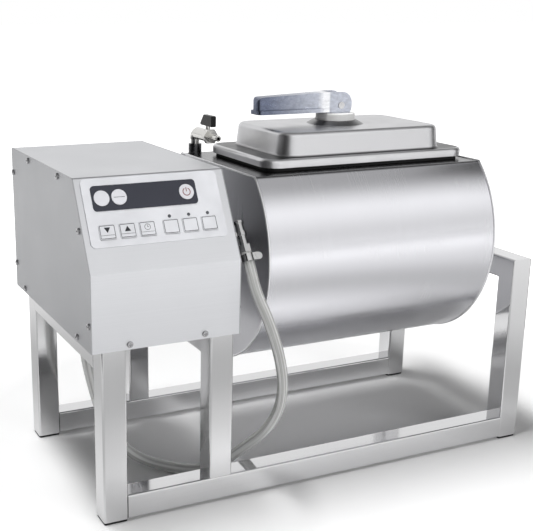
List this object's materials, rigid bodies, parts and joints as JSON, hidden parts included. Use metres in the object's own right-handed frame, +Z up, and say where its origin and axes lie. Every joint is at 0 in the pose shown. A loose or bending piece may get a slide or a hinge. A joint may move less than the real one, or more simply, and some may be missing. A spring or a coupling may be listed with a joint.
{
  "type": "vacuum tumbler",
  "caption": "Tabletop vacuum tumbler: D-shaped steel drum with a cam-clamped lid, on a square-tube frame beside a sheet metal control housing with a vacuum hose.",
  "frame": {"origin": "middle of the footprint, on the surface that the four foot pads stand on", "axes": "+X along the drum's axis from the control housing to the tail bearing, +Y to the back, +Z up; the control panel faces -Y"},
  "size_m": [0.6328, 0.3392, 0.4783],
  "materials": {
    "satin_steel_frame": "satin, welded and ground",
    "rubber_feet": "matt black",
    "satin_steel_sheet": "fine satin grain",
    "screw_steel": "bright",
    "overlay_film": "fine matt film",
    "window_tint": "dark, slightly glossy",
    "silver_key": "silver film",
    "grey_key": "matt film with a fine outline",
    "lamp_lens": "clear, unlit",
    "circuit_board": "solder mask",
    "zinc_bracket": "zinc plated",
    "bearing_iron": "cast, painted silver grey",
    "motor_paint": "dark enamel",
    "turned_steel": "turned bright",
    "pump_aluminium": "cast",
    "black_plastic": "fine grain",
    "brushed_drum": "brushed round the drum",
    "pressed_lid": "bright, nearly polished",
    "gasket_rubber": "matt black",
    "white_nylon": "smooth white",
    "clamp_steel": "bright",
    "zinc_lever": "bluish zinc plating",
    "polished_steel": "polished",
    "plated_connector": "plated",
    "hose_plastic": "cloudy, slightly translucent"
  },
  "bodies": {
    "frame": {"front_bottom_rail": "satin_steel_frame", "back_bottom_rail": "satin_steel_frame", "front_left_post": "satin_steel_frame", "front_mid_post": "satin_steel_frame", "back_left_post": "satin_steel_frame", "back_mid_post": "satin_steel_frame", "front_right_post": "satin_steel_frame", "back_right_post": "satin_steel_frame", "left_top_rail": "satin_steel_frame", "mid_top_rail": "satin_steel_frame", "right_top_rail": "satin_steel_frame", "foot_pads": "rubber_feet", "housing_cover": "satin_steel_sheet", "left_side_panel": "satin_steel_sheet", "right_side_panel": "satin_steel_sheet", "base_tray": "satin_steel_sheet", "panel_screws": "screw_steel", "control_overlay": "overlay_film", "display_window": "window_tint", "indicator_lamps": "lamp_lens", "control_board": "circuit_board", "drive_bracket": "zinc_bracket", "drive_bearing": "bearing_iron", "gear_motor": "motor_paint", "vacuum_pump": "pump_aluminium", "power_inlet": "black_plastic", "tail_bearing": "bearing_iron", "connector_clip": "plated_connector", "hose_connector": "plated_connector", "hose_clamp": "plated_connector", "vacuum_hose": "hose_plastic", "hose_gland": "black_plastic"},
    "drum": {"drum_shell": "brushed_drum", "drum_left_end": "brushed_drum", "drum_right_end": "brushed_drum", "drive_shaft": "turned_steel", "tail_shaft": "turned_steel", "shaft_coupling": "turned_steel", "tumbling_baffles": "brushed_drum", "valve_elbow": "polished_steel", "valve_body": "polished_steel", "valve_nozzle": "polished_steel"},
    "lid": {"lid_pan": "pressed_lid", "lid_gasket": "gasket_rubber"},
    "saddle": {"clamp_saddle": "white_nylon"},
    "stud": {"clamp_stud": "clamp_steel", "clamp_crossbar": "clamp_steel"},
    "lever": {"cam_lever": "zinc_lever", "lever_pin": "clamp_steel"},
    "valve_plug": {"valve_ball": "polished_steel", "valve_handle": "black_plastic"},
    "left_round_button": {"left_round_key": "silver_key"},
    "middle_round_button": {"middle_round_key": "silver_key"},
    "power_button": {"power_key": "silver_key"},
    "down_button": {"down_key": "grey_key"},
    "up_button": {"up_key": "grey_key"},
    "timer_button": {"timer_key": "grey_key"},
    "first_mode_button": {"first_mode_key": "grey_key"},
    "second_mode_button": {"second_mode_key": "grey_key"},
    "third_mode_button": {"third_mode_key": "grey_key"}
  },
  "joints": [
    {"name": "drum_spin", "type": "hinge", "parent": "frame", "child": "drum", "pos_m": [0.0791, 0, 0.287], "axis": [1, 0, 0], "continuous": true},
    {"name": "lid_lift", "type": "slide", "parent": "drum", "child": "lid", "axis": [0, 0, 1], "range_m": [0, 0.15]},
    {"name": "clamp_turn", "type": "hinge", "parent": "lid", "child": "saddle", "pos_m": [0.0876, 0, 0.4415], "axis": [0, 0, 1], "range_deg": [0, 90]},
    {"name": "stud_drop", "type": "slide", "parent": "saddle", "child": "stud", "axis": [0, 0, -1], "range_m": [0, 0.001]},
    {"name": "lever_cam", "type": "hinge", "parent": "stud", "child": "lever", "pos_m": [0.0876, 0, 0.4608], "axis": [0, 1, 0], "range_deg": [0, 90]},
    {"name": "valve_turn", "type": "hinge", "parent": "drum", "child": "valve_plug", "pos_m": [-0.07385, 0.057, 0.4198], "axis": [0, 0, 1], "range_deg": [0, 90]},
    {"name": "left_round_press", "type": "slide", "parent": "frame", "child": "left_round_button", "axis": [0, 0.8769, -0.4807], "range_m": [0, 0.0004], "stiffness_N_per_m": 400},
    {"name": "middle_round_press", "type": "slide", "parent": "frame", "child": "middle_round_button", "axis": [0, 0.8769, -0.4807], "range_m": [0, 0.0004], "stiffness_N_per_m": 400},
    {"name": "power_press", "type": "slide", "parent": "frame", "child": "power_button", "axis": [0, 0.8769, -0.4807], "range_m": [0, 0.0004], "stiffness_N_per_m": 400},
    {"name": "down_press", "type": "slide", "parent": "frame", "child": "down_button", "axis": [0, 0.8769, -0.4807], "range_m": [0, 0.0004], "stiffness_N_per_m": 400},
    {"name": "up_press", "type": "slide", "parent": "frame", "child": "up_button", "axis": [0, 0.8769, -0.4807], "range_m": [0, 0.0004], "stiffness_N_per_m": 400},
    {"name": "timer_press", "type": "slide", "parent": "frame", "child": "timer_button", "axis": [0, 0.8769, -0.4807], "range_m": [0, 0.0004], "stiffness_N_per_m": 400},
    {"name": "first_mode_press", "type": "slide", "parent": "frame", "child": "first_mode_button", "axis": [0, 0.8769, -0.4807], "range_m": [0, 0.0004], "stiffness_N_per_m": 400},
    {"name": "second_mode_press", "type": "slide", "parent": "frame", "child": "second_mode_button", "axis": [0, 0.8769, -0.4807], "range_m": [0, 0.0004], "stiffness_N_per_m": 400},
    {"name": "third_mode_press", "type": "slide", "parent": "frame", "child": "third_mode_button", "axis": [0, 0.8769, -0.4807], "range_m": [0, 0.0004], "stiffness_N_per_m": 400}
  ],
  "couplings": [
    {"joint": "stud_drop", "follows": "lever_cam", "m_per_rad": 0.000636}
  ]
}
